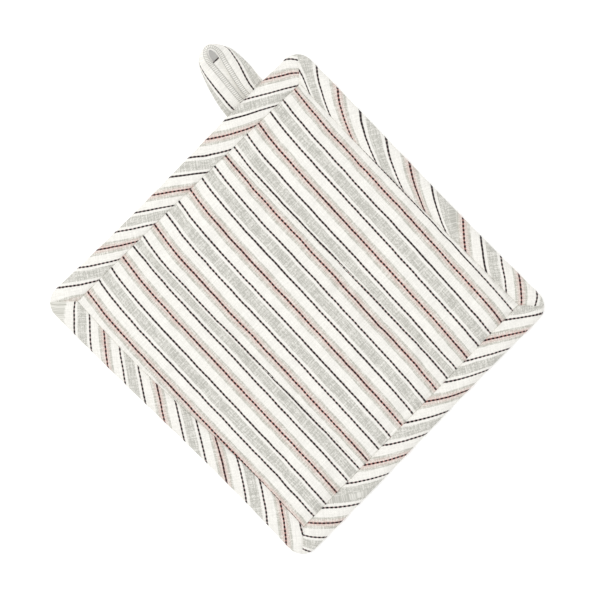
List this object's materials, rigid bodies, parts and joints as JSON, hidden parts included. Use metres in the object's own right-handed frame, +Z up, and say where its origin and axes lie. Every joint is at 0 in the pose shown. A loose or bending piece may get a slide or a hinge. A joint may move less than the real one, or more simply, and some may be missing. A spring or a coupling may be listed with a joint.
{
  "type": "quilted pot holder",
  "caption": "Square quilted pot holder in striped cotton with a bias-cut bound edge and a folded tape hanging loop near one corner.",
  "frame": {"origin": "the middle of the pad's flat underside, on the surface it lies on", "axes": "+Z up out of the pad's face, +Y along the stripes towards the side with the hanging loop, +X to the right of that, so the loop is near the +X +Y corner"},
  "size_m": [0.1989, 0.238, 0.014],
  "materials": {
    "pad_cloth": "matt woven cotton, striped, quilted",
    "binding_cloth": "matt woven cotton, striped, cut on the bias",
    "loop_cloth": "matt woven cotton, striped, folded and topstitched"
  },
  "bodies": {
    "root": {"quilted_pad": "pad_cloth", "binding": "binding_cloth", "hanging_loop": "loop_cloth"}
  },
  "joints": []
}
